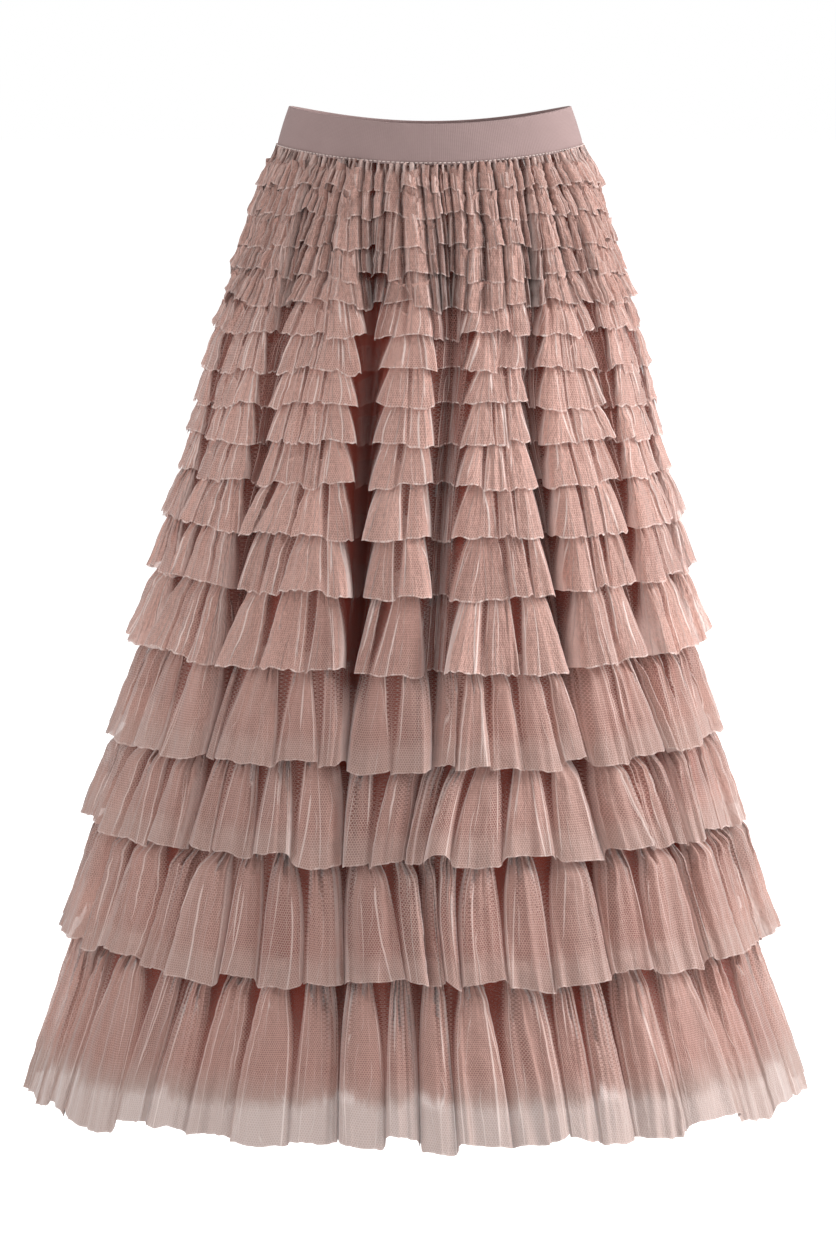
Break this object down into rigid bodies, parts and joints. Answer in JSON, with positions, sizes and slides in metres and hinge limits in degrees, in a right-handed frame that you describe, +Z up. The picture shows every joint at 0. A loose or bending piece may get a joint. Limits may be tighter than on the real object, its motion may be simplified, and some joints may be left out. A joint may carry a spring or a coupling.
{
  "type": "tulle skirt",
  "caption": "Long hollow skirt of gathered tulle tiers over an opaque lining, with an elastic waistband and an open waist and hem.",
  "frame": {"origin": "centre of the waist, at the middle of the waistband's height at the sides", "axes": "+Z up, out of the waist; the front faces -Y; +X towards the skirt's side that is on the right seen from the front"},
  "size_m": [0.6726, 0.5193, 0.8316],
  "materials": {
    "elastic": "ribbed matt elastic, greyed mauve",
    "lining": "opaque woven lining, deep rose",
    "tulle": "fine soft net, sheer, dusty pink"
  },
  "bodies": {
    "root": {"waistband": "elastic", "lining": "lining", "tier_01": "tulle", "tier_02": "tulle", "tier_03": "tulle", "tier_04": "tulle", "tier_05": "tulle", "tier_06": "tulle", "tier_07": "tulle", "tier_08": "tulle", "tier_09": "tulle", "tier_10": "tulle", "tier_11": "tulle", "tier_12": "tulle", "tier_13": "tulle", "tier_14": "tulle", "tier_15": "tulle", "tier_16": "tulle", "tier_17": "tulle"}
  },
  "joints": []
}
